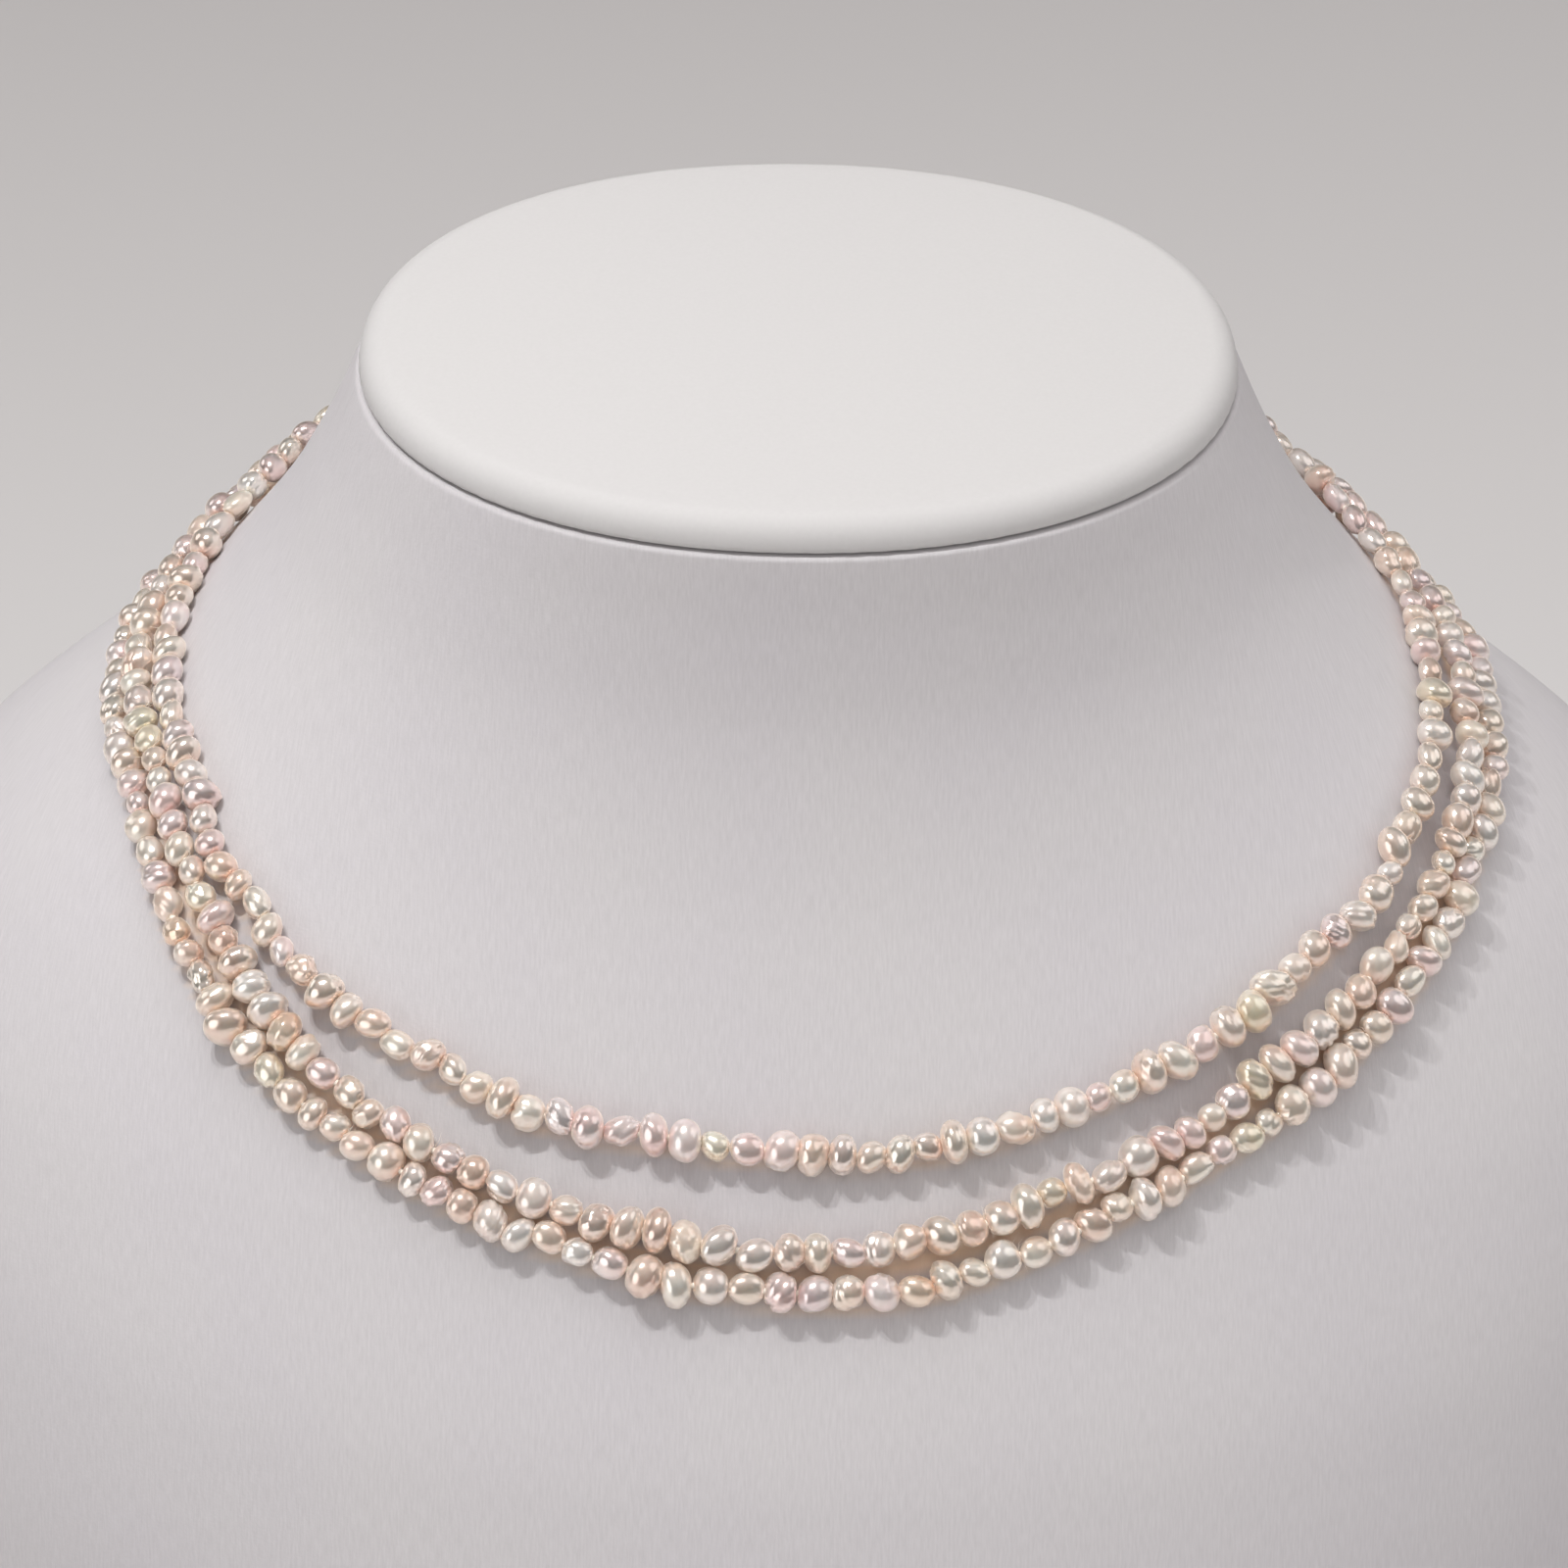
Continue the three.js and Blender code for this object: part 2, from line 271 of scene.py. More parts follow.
def clothMap(points, faces):
    # the covering's own map: metres round the bust from the front, counted back from it past the nape,
    # and metres down it
    rows, columns = points.shape[:2]
    lap = np.concatenate([points, points[:, :1]], axis=1)
    around = np.cumsum(np.linalg.norm(np.diff(lap, axis=1), axis=2), axis=1)
    around = np.concatenate([np.zeros((rows, 1)), around], axis=1)
    down = lengthAlong(points[:, 0])
    row, column = np.divmod(faces[:, 3], columns)
    cornerRow = np.stack([row + 1, row + 1, row, row], axis=1)
    cornerColumn = np.stack([column, column + 1, column + 1, column], axis=1)
    pastNape = (column >= columns // 2)[:, None]
    u = around[cornerRow, cornerColumn] - np.where(pastNape, around[cornerRow, -1], 0)
    return np.stack([u, down[cornerRow]], axis=-1).reshape(-1, 2)


def makeBustBody():
    # the table's sections on a grid of angle and drop, closed at the seam and at the foot
    columns, rows = bust["columns"], bust["rows"]
    top, foot = bustSections["drop"][0], bustSections["drop"][-1]
    drop = top + (foot - top) * np.linspace(0, 1, rows) ** bust["rowPower"]
    angle = np.linspace(0, 2 * math.pi, columns, endpoint=False)
    dropGrid, angleGrid = np.meshgrid(drop, angle, indexing="ij")
    points = bustPoints(angleGrid, dropGrid, bustInsets(angleGrid, dropGrid, top, foot))
    faces = ringFaces(rows, columns)[:, ::-1]
    ends = [list(range(columns)), list(range(rows * columns - 1, (rows - 1) * columns - 1, -1))]
    uv = np.concatenate([clothMap(points, faces), np.zeros((2 * columns, 2))])
    made = makeMesh("bust_covering", points, faces.tolist() + ends, uv)
    # painted warm light below the strings, read by the covering's material
    addNumbers(made, "paintedWarmth", paintWarmLight(points, angle, drop))
    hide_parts("bust_body")
    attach(made, "root")
    return made


cap = {
    "halfWidth": 49.6 * mm,
    "halfDepth": 47.8 * mm,
    "under": 4.7 * mm,        # its lower face, below the bust's full height
    "rounding": 3.2 * mm,
    "lowerRounding": 0.6 * mm,
    "crown": 0.8 * mm,
    "crownPower": 0.8,        # under 1 lifts the crown sooner behind the edge
    "underInset": 0.6,        # of the lower face's inner ring, as a share of the half depth
    "topInset": 0.97,         # of the top's inner ring
    "columns": 288,
    "edgeSteps": 14,
    "lowerStride": 4,         # the lower rounding takes each fourth of those steps
    "topSteps": 26,
    "puckerDepth": 0.05 * mm,
    "puckers": 96,
    "puckerDrift": 2,         # radians that the puckers drift to and fro
    "puckerDrifts": 4,
    "puckerGroups": 7,        # waves of stronger and weaker puckers round the edge
    "groupShare": 0.4,        # how far their depth comes and goes
}


def capProfile():
    # inset and height: lower bevel, upright side, quarter circle, and a top crowned as a sine to a power
    turn = np.linspace(0, math.pi / 2, cap["edgeSteps"])
    lowerTurn = turn[::cap["lowerStride"]]
    share = np.linspace(0, 1, cap["topSteps"] + 1)[1:]
    edge = bust["height"] - cap["crown"]
    under = bust["height"] - cap["under"]
    topWidth = cap["halfDepth"] * cap["topInset"] - cap["rounding"]
    insets = [[cap["halfDepth"] * cap["underInset"]], cap["lowerRounding"] * (1 - np.sin(lowerTurn)),
              cap["rounding"] * (1 - np.cos(turn)), cap["rounding"] + topWidth * share]
    heights = [[under], under + cap["lowerRounding"] * (1 - np.cos(lowerTurn)),
               edge - cap["rounding"] * (1 - np.sin(turn)),
               edge + cap["crown"] * np.sin(share * math.pi / 2) ** cap["crownPower"]]
    return np.concatenate(insets), np.concatenate(heights), under


def makeBustCap():
    # the profile is carried round the oval
    inset, height, under = capProfile()
    angle = np.linspace(0, 2 * math.pi, cap["columns"], endpoint=False)
    insetGrid, angleGrid = np.meshgrid(inset, angle, indexing="ij")
    heightGrid = np.repeat(height[:, None], cap["columns"], axis=1)
    # puckers: the covering is gathered under the edge, and the gathers fade out over its rounding
    low = 1 - smoothStep(0, cap["rounding"], heightGrid - under)
    drift = cap["puckerDrift"] * np.sin(cap["puckerDrifts"] * angleGrid)
    groups = 1 - cap["groupShare"] + cap["groupShare"] * np.sin(cap["puckerGroups"] * angleGrid)
    gather = np.sin(cap["puckers"] * angleGrid + drift) * groups
    insetGrid = insetGrid + cap["puckerDepth"] * low * gather
    depth = cap["halfDepth"] - insetGrid
    points = ovalPoints(angleGrid, cap["halfWidth"] - insetGrid, depth, depth, heightGrid)
    rows, columns = points.shape[:2]
    ends = [list(range(columns - 1, -1, -1)), list(range((rows - 1) * columns, rows * columns))]
    made = makeMesh("cap_covering", points, ringFaces(rows, columns).tolist() + ends)
    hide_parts("bust_cap")
    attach(made, "root")
    return made


# degrees round the neck, and how many mm each string lies below the top of the cap there
routes = {
    "angle": [-180, -150, -120, -105, -90, -75, -60, -45, -30, -15, -7, 0,
              7, 15, 30, 45, 60, 75, 90, 105, 120, 150, 180],
    "inner": [20, 21.4, 25, 30.2, 35, 38.3, 41.8, 48.1, 54.9, 61.2, 62.3, 63.4,
              63.2, 61, 55.1, 49.2, 43.6, 39.3, 35.4, 30.9, 26.9, 22.2, 20],
    "middle": [24.6, 26.1, 29.9, 34, 37.7, 40.5, 44.1, 51.1, 60.3, 68.3, 71.2, 72.2,
               70.9, 67.8, 60.3, 53.5, 47.4, 42.7, 38.7, 34.9, 31.4, 26.9, 24.6],
    "outer": [29.2, 30.8, 34.5, 37.9, 40.8, 43.2, 46.8, 54.1, 63.5, 70.7, 73.5, 75.2,
              74.7, 71.1, 63.4, 56.1, 49.9, 45.5, 42, 38.8, 35.8, 31.6, 29.2],
}

clasp = {
    "width": 11 * mm,
    "gap": 0.35 * mm,       # left between it and each string's end
}

strings = {
    # rise: mm that a string rides up on its neighbours where they bunch at the sides
    "inner": {"seed": 101, "rise": 0.0},
    "middle": {"seed": 202, "rise": 0.8},
    "outer": {"seed": 303, "rise": 0.0},
}

# how the strings lie
lay = {
    "samples": 3001,
    "threadHeight": 2.35 * mm,            # off the covering, where a string's length is measured
    "strayRates": (0.071, 0.137, 0.293),  # radians to the mm of the slow waves that a string strays in
    "wander": 0.20,                       # mm, how far a string strays sideways
    "jitter": 0.26,                       # mm, how far a pearl strays on its own
    "endFade": 12 * mm,                   # from each end, over which both set in
    "tangentStep": 0.5 * mm,              # to either side of a pearl's middle
    "lift": 0.20,                         # mm that the thread lies higher than the mean pearl's radius
    "levelSpan": 7,                       # pearls that the thread's height is evened over
    "clear": 0.02 * mm,                   # left between a pearl and the covering or another string's pearl
    "shrinkFrom": (28, 55),               # degrees from the front over which the pearls get narrower
    "riseFrom": (35, 60),                 # degrees over which a string rides up, and over which it comes down
    "riseTo": (110, 140),
    "rounds": 12,                         # in which the strings' pearls push each other apart
}

pearl = {
    "pitch": 3.43,          # mm, mean length along the thread
    "pitchSpread": 0.55,
    "radius": 2.04,         # mm, mean radius across the string, before flats and grooves take some off
    "radiusSpread": 0.48,
    "sideShrink": 0.11,     # how much narrower the pearls are at the sides and the back than at the front
    "thickness": 0.82,      # height off the covering to the width: a pearl turns its flatter side down
    "flatness": 0.08,       # how much that share differs from pearl to pearl
    "fill": 1.02,           # a pearl's length to its room on the thread, so neighbours touch
    "endPower": 0.84,       # under 1 fills the pearl's ends out
    "lean": 0.14,           # how far a pearl drilled off its own axis leans along the thread
    "leanMost": 0.3,
    "lustre": (0.62, 0.2),  # mean and spread, from 0, dull, to 1, mirror-like
    "lustreLeast": 0.1,
    "overtoneEdge": (-0.5, 0.8),    # from the pearl's far side, -1, to the side with the overtone, 1
    "shade": 0.03,          # how much the pearls' brightness differs
    "seedStep": 7,          # added to the string's seed, for the pearls' own forms
    "around": 36,
    "along": 20,
}


def stringRoute(name):
    # samples the string from the clasp round the wearer's left, the front and back to the clasp
    nape = readTable(routes, "angle", name, 180.0)
    end = clasp["width"] / 2 + clasp["gap"]
    sine = (end / (readTable(bustSections, "drop", "side", nape) * mm)) ** (bust["ovalPower"] / 2)
    start = 180 - math.degrees(math.asin(sine))
    degrees = np.linspace(start, -start, lay["samples"])
    drop = readTable(routes, "angle", name, degrees)
    angle = np.radians(degrees)
    points = bustPoints(angle, drop)
    normals = bustNormals(angle, drop)
    length = lengthAlong(points + normals * lay["threadHeight"])
    return {"surface": points, "normal": normals, "length": length, "angle": angle}


def atLength(route, key, length):
    # straight between the route's samples
    return np.stack([np.interp(length, route["length"], route[key][:, i]) for i in range(3)], axis=-1)


def stringSizes(total, seed):
    # Park and Miller's numbers give each pearl's length and radius, then the lengths are fitted to the string
    multiplier, modulus = 16807, 2 ** 31 - 1
    count = int(round(total / mm / pearl["pitch"]))
    state = seed
    numbers = []
    for _ in range(2 * count):
        state = (state * multiplier) % modulus
        numbers.append(state / modulus)
    spread = 2 * np.array(numbers).reshape(count, 2) - 1
    lengths = pearl["pitch"] + pearl["pitchSpread"] * spread[:, 0]
    radii = pearl["radius"] + pearl["radiusSpread"] * spread[:, 1]
    return lengths * total / lengths.sum(), radii * mm


def layString(name):
    # sets the pearls one after another on the string's line, each straying a little to the side
    string = strings[name]
    route = stringRoute(name)
    total = route["length"][-1]
    lengths, radii = stringSizes(total, string["seed"])
    random = np.random.default_rng(string["seed"])
    ends = np.concatenate([[0], np.cumsum(lengths)])
    middle = (ends[:-1] + ends[1:]) / 2
    phase = random.uniform(0, 2 * math.pi, 3)
    stray = sum(np.sin(middle / mm * rate + phase[i]) for i, rate in enumerate(lay["strayRates"])) / 2
    side = (lay["wander"] * stray + lay["jitter"] * random.standard_normal(len(radii))) * mm
    side *= smoothStep(0, lay["endFade"], middle) * smoothStep(0, lay["endFade"], total - middle)
    turned = np.degrees(np.abs(np.interp(middle, route["length"], route["angle"])))
    radii = radii * (1 - pearl["sideShrink"] * smoothStep(*lay["shrinkFrom"], turned))
    normal = unit(atLength(route, "normal", middle))
    step = lay["tangentStep"]
    tangent = unit(atLength(route, "surface", middle + step) - atLength(route, "surface", middle - step))
    tangent = unit(tangent - normal * np.sum(tangent * normal, axis=1, keepdims=True))
    # the thread keeps an even height, so larger pearls touch the covering and smaller ones hang clear
    span = lay["levelSpan"]
    level = np.convolve(np.pad(radii, span // 2, mode="edge"), np.ones(span) / span, mode="valid")
    height = np.maximum(radii * pearl["thickness"] + lay["clear"],
                        level * pearl["thickness"] + lay["lift"] * mm)
    bunched = smoothStep(*lay["riseFrom"], turned) * (1 - smoothStep(*lay["riseTo"], turned))
    height += string["rise"] * mm * bunched
    return {"length": lengths, "radius": radii, "side": side, "height": height, "count": len(radii),
            "surface": atLength(route, "surface", middle), "normal": normal, "tangent": tangent,
            "across": np.cross(normal, tangent)}


def pearlCentres(string):
    # off the covering by the height, and across the string by the stray
    return (string["surface"] + string["normal"] * string["height"][:, None]
            + string["across"] * string["side"][:, None])


def pushApart(a, b):
    # where pearls of two strings overlap, each gives way across its own string by half of the overlap
    apart = pearlCentres(b)[None] - pearlCentres(a)[:, None]
    distance = np.linalg.norm(apart, axis=2)
    clear = a["radius"][:, None] + b["radius"][None] + lay["clear"]
    push = np.clip(clear - distance, 0, None) / 2
    pushA = push * np.einsum("abk,ak->ab", apart, a["across"]) / distance
    pushB = push * np.einsum("abk,bk->ab", apart, b["across"]) / distance
    a["side"] = a["side"] - pushA.max(axis=1) - pushA.min(axis=1)
    b["side"] = b["side"] + pushB.max(axis=0) + pushB.min(axis=0)


def layStrings():
    # each round lets the two upper strings push each other apart, and then the two lower ones
    laid = {name: layString(name) for name in strings}
    for _ in range(lay["rounds"]):
        pushApart(laid["inner"], laid["middle"])
        pushApart(laid["middle"], laid["outer"])
    return laid


# nacre colours with how often each comes: body colour, and the overtone on one side
nacre = [
    (0.26, "fee3d2", "fff0e3"),   # pink cream
    (0.08, "feddca", "ffebdd"),   # peach pink
    (0.23, "fee8d7", "fff2e3"),   # cream
    (0.19, "fde2dc", "fdece8"),   # lavender pink
    (0.19, "fcede3", "fdf4ec"),   # silver white
    (0.01, "fbd6bb", "fde5d0"),   # apricot
    (0.03, "f7ebd1", "fbf1dc"),   # pale green
    (0.01, "f5e4e3", "faebe6"),   # pale violet
]

# how pearls differ from a ball of radius 1. a pair is the lowest and the highest that a pearl may draw.
# depths, levels and widths are shares of the radius, rates are radians to the radius, and a form's share is
# how many of the pearls have it. a second ring is as deep as secondDepth of the first
pearlForm = {
    "egg": (0.0, 0.09),
    "flatShares": (1.0, 0.5), "flatDepth": (0.0, 0.42), "flatLevel": 0.6, "flatPower": 1.4,
    "swell": (0.018, 0.05), "swellRate": (1.8, 4.2),
    "lump": (0.003, 0.009), "lumpRate": (3.5, 6),
    "ringShare": 0.34, "ringDepth": (0.03, 0.10), "ringWidth": (0.08, 0.15), "ringLevel": (-0.35, 0.35),
    "ringGap": (0.3, 0.5), "secondShare": 0.5, "secondDepth": 0.7,
    "wrinkleShare": 0.5, "wrinkleDepth": (0.03, 0.075), "wrinkleRate": (4, 8), "wrinklePatch": (-0.1, 0.75),
    "pitShare": 0.28, "pitDepth": (0.03, 0.08), "pitWidth": 0.02,
    "waistShare": 0.08, "waistDepth": (0.09, 0.16), "waistLevel": 0.15, "waistWidth": 0.22,
}


def waves(direction, random, rates, count, ridged=False):
    # a sum of plane sine waves through the pearl, each with its own direction, rate and phase. a ridged wave
    # is 1 less twice the sine's size, which makes sharp ridges
    pearls = direction.shape[0]
    total = np.zeros(direction.shape[:-1])
    for _ in range(count):
        way = unit(random.standard_normal((pearls, 3))) * random.uniform(*rates, (pearls, 1))
        phase = random.uniform(0, 2 * math.pi, (pearls, 1, 1))
        wave = np.sin(np.einsum("pijk,pk->pij", direction, way) + phase)
        total += 1 - 2 * np.abs(wave) if ridged else wave
    return total / math.sqrt(count)


def pearlShapes(count, random):
    # unit directions on a grid, poles on the thread: x along it, y across the string, z off the covering
    polar = np.linspace(0, math.pi, pearl["along"] + 1)
    turn = np.linspace(0, 2 * math.pi, pearl["around"], endpoint=False)
    polarGrid, turnGrid = np.meshgrid(polar, turn, indexing="ij")
    direction = np.stack([np.cos(polarGrid), np.sin(polarGrid) * np.cos(turnGrid),
                          np.sin(polarGrid) * np.sin(turnGrid)], axis=-1)
    direction = np.broadcast_to(direction, (count, *direction.shape))
    form = pearlForm

    def draw(key):
        return random.uniform(*form[key], (count, 1, 1))

    def pick(share):
        return (random.random(count) < share)[:, None, None]

    def alongAnyWay():
        way = unit(random.standard_normal((count, 3)))
        return np.einsum("pijk,pk->pij", direction, way)

    # egg and flat: a cubic swell to one end, and a side or two pressed flat
    size = 1 + draw("egg") * alongAnyWay() ** 3
    for share in form["flatShares"]:
        flat = draw("flatDepth") * pick(share)
        size -= flat * np.clip(alongAnyWay() - form["flatLevel"], 0, None) ** form["flatPower"]
    # slow swells, and small lumps that break up what the pearl mirrors
    size += draw("swell") * waves(direction, random, form["swellRate"], count=4)
    size += draw("lump") * waves(direction, random, form["lumpRate"], count=4)
    # growth rings: one or two bell-shaped grooves square to a tilted axis
    ring = alongAnyWay()
    depth = draw("ringDepth") * pick(form["ringShare"])
    width, level = draw("ringWidth"), draw("ringLevel")
    second = level + draw("ringGap")
    size -= depth * bell(ring - level, width)
    size -= form["secondDepth"] * depth * pick(form["secondShare"]) * bell(ring - second, width)
    # wrinkles: ridged waves over one patch
    patch = smoothStep(*form["wrinklePatch"], alongAnyWay())
    wrinkled = pick(form["wrinkleShare"]) * patch
    depth = draw("wrinkleDepth") * wrinkled
    size -= depth * waves(direction, random, form["wrinkleRate"], count=3, ridged=True)
    # a small pit, and a waist that makes two lobes
    pit = draw("pitDepth") * pick(form["pitShare"])
    size -= pit * np.exp((alongAnyWay() - 1) / form["pitWidth"])
    waist = alongAnyWay()
    lobed = draw("waistDepth") * pick(form["waistShare"])
    size -= lobed * bell(waist - form["waistLevel"], form["waistWidth"])
    return direction, size, wrinkled


def pearlColors(direction, count, random):
    # each vertex takes the body colour, turning to the overtone on the side that faces a random way
    shares = np.array([row[0] for row in nacre])
    body = np.array([linearColor(row[1])[:3] for row in nacre])
    overtone = np.array([linearColor(row[2])[:3] for row in nacre])
    kind = random.choice(len(nacre), size=count, p=shares / shares.sum())
    way = unit(random.standard_normal((count, 3)))
    facing = smoothStep(*pearl["overtoneEdge"], np.einsum("pijk,pk->pij", direction, way))[..., None]
    shade = 1 + pearl["shade"] * random.standard_normal((count, 1, 1, 1))
    mixed = body[kind][:, None, None] * (1 - facing) + overtone[kind][:, None, None] * facing
    return np.clip(mixed * shade, 0, 1)


def closedGrids(grids):
    # the grid's first and last rows are one point each: the rows between them come first, then the two poles
    between = grids[:, 1:-1].reshape(len(grids), -1, grids.shape[-1])
    return np.concatenate([between, grids[:, :1, 0], grids[:, -1:, 0]], axis=1)


def pearlFaces(count, each):
    # quads between the rows, and a fan of triangles round each pole. the poles are the last two vertices
    along, around = pearl["along"], pearl["around"]
    column = np.arange(around)
    nextColumn = (column + 1) % around
    lastRow = (along - 2) * around
    firstFan = np.stack([np.full(around, each - 2), column, nextColumn], axis=1)
    lastFan = np.stack([np.full(around, each - 1), lastRow + nextColumn, lastRow + column], axis=1)
    quads = ringFaces(along - 1, around)[:, ::-1]
    return copiedFaces((quads, firstFan, lastFan), count, each)


def makePearls(name, string):
    # the unit shapes are stretched to each pearl's length, width and thickness and turned onto its string
    count = string["count"]
    random = np.random.default_rng(strings[name]["seed"] + pearl["seedStep"])
    direction, size, wrinkled = pearlShapes(count, random)
    flat = 1 + pearl["flatness"] * random.uniform(-1, 1, count)
    half = np.stack([string["length"] / 2 * pearl["fill"], string["radius"],
                     string["radius"] * pearl["thickness"] * flat], axis=-1)
    # the ends are filled out: the width falls off as the sine, kept off 0 at the poles, to a power under 1
    sine = np.maximum(np.sqrt(np.clip(1 - direction[..., :1] ** 2, 0, 1)), 1e-6)
    width = direction[..., 1:] * sine ** (pearl["endPower"] - 1)
    # many are drilled off their own axis, so they lean along the thread
    lean = random.normal(0, pearl["lean"], (count, 1, 1, 2)).clip(-pearl["leanMost"], pearl["leanMost"])
    leaned = direction[..., :1] + (lean * width).sum(axis=-1, keepdims=True)
    local = np.concatenate([leaned, width], axis=-1) * half[:, None, None] * size[..., None]
    axes = np.stack([string["tangent"], string["across"], string["normal"]], axis=1)
    points = np.einsum("pijk,pkl->pijl", local, axes) + pearlCentres(string)[:, None, None]
    colors = pearlColors(direction, count, random)
    lustre = np.clip(random.normal(*pearl["lustre"], count), pearl["lustreLeast"], 1)
    vertices = closedGrids(points)
    each = vertices.shape[1]
    made = makeMesh("pearls_" + name, vertices, pearlFaces(count, each))
    # the wrinkled patches travel in the colour's fourth channel
    rgba = closedGrids(np.concatenate([colors, wrinkled[..., None]], axis=-1))
    layer = made.data.color_attributes.new("nacre", "FLOAT_COLOR", "POINT")
    layer.data.foreach_set("color", rgba.reshape(-1).astype(np.float32))
    addNumbers(made, "lustre", np.repeat(lustre, each))
    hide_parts("strand_" + name)
    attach(made, "root")
    return made


thread = {
    "radius": 0.16 * mm,
    "knotRadius": 0.42 * mm,
    "knotWidth": 0.09,      # of the bell-shaped knot, as a share of the way from knot to knot
    "endLength": 0.6,       # past the middle of each end pearl, as a share of the pearl's length
    "sides": 8,
    "stepsPerPearl": 6,
}


def makeThread(name, string):
    # a tube through the pearls' centres, swelling to a knot between each two pearls
    centres = pearlCentres(string)
    knots = (centres[:-1] + centres[1:]) / 2
    firstEnd = centres[0] - string["tangent"][0] * string["length"][0] * thread["endLength"]
    lastEnd = centres[-1] + string["tangent"][-1] * string["length"][-1] * thread["endLength"]
    pairs = np.stack([centres[:-1], knots], axis=1).reshape(-1, 3)
    nodes = np.concatenate([[firstEnd], pairs, [centres[-1], lastEnd]])
    key = np.arange(len(nodes))
    at = np.linspace(0, len(nodes) - 1, (len(nodes) - 1) * thread["stepsPerPearl"] // 2 + 1)
    path = np.stack([np.interp(at, key, nodes[:, i]) for i in range(3)], axis=-1)
    # each second node is a knot, so this is 0 at one knot and 1 at the next
    fromKnot = (at / 2) % 1
    knotted = bell(fromKnot, thread["knotWidth"]) + bell(fromKnot - 1, thread["knotWidth"])
    radius = thread["radius"] + (thread["knotRadius"] - thread["radius"]) * knotted
    along = unit(np.gradient(path, axis=0))
    across = unit(np.cross(np.broadcast_to([0.0, 0, 1], along.shape), along))
    lift = np.cross(along, across)
    turn = np.linspace(0, 2 * math.pi, thread["sides"], endpoint=False)
    ring = across[:, None] * np.cos(turn)[None, :, None] + lift[:, None] * np.sin(turn)[None, :, None]
    points = path[:, None] + ring * radius[:, None, None]
    rows, sides = points.shape[:2]
    ends = [list(range(sides - 1, -1, -1)), list(range((rows - 1) * sides, rows * sides))]
    made = makeMesh("thread_" + name, points, ringFaces(rows, sides).tolist() + ends)
    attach(made, "root")
    return made


fuzz = {
    "share": 0.16,          # of the knots let loose ends of silk out
    "fibres": 7,
    "radius": 0.035 * mm,
    "taper": 0.7,           # of the radius is left at the bend
    "length": (1.7, 2.9),   # mm
    "off": (-0.1, 0.8),     # how far a fibre turns off the covering
    "slant": 0.45,          # how far it turns along the thread
    "bend": 0.5,
    "bendAt": 0.55,         # of its length
    "seedStep": 31,         # added to the string's seed
}


def makeFuzz(name, string):
    # each fibre is a three-sided spike with one bend, from the middle of its knot outwards
    random = np.random.default_rng(strings[name]["seed"] + fuzz["seedStep"])
    centres = pearlCentres(string)
    knots = np.flatnonzero(random.random(len(centres) - 1) < fuzz["share"])
    knots = np.repeat(knots, fuzz["fibres"])
    count = len(knots)
    base = (centres[knots] + centres[knots + 1]) / 2
    way = unit(string["across"][knots] * random.choice((-1.0, 1.0), (count, 1))
               + string["normal"][knots] * random.uniform(*fuzz["off"], (count, 1))
               + string["tangent"][knots] * random.normal(0, fuzz["slant"], (count, 1)))
    bend = unit(random.standard_normal((count, 3)))
    length = random.uniform(*fuzz["length"], (count, 1)) * mm
    middle = base + way * length * fuzz["bendAt"]
    tip = base + unit(way + fuzz["bend"] * bend) * length
    one = unit(np.cross(way, bend))
    two = np.cross(way, one)
    turn = np.radians([0, 120, 240])
    ring = one[:, None] * np.cos(turn)[None, :, None] + two[:, None] * np.sin(turn)[None, :, None]
    ring *= fuzz["radius"]
    points = np.concatenate([base[:, None] + ring, middle[:, None] + ring * fuzz["taper"], tip[:, None]],
                            axis=1)
    # vertices 0 to 2 go round the foot, 3 to 5 round the bend, and 6 is the tip
    quads = np.array([[0, 1, 4, 3], [1, 2, 5, 4], [2, 0, 3, 5]])
    fans = np.array([[3, 4, 6], [4, 5, 6], [5, 3, 6], [2, 1, 0]])
    made = makeMesh("fuzz_" + name, points, copiedFaces((quads, fans), count, points.shape[1]))
    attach(made, "root")
    return made


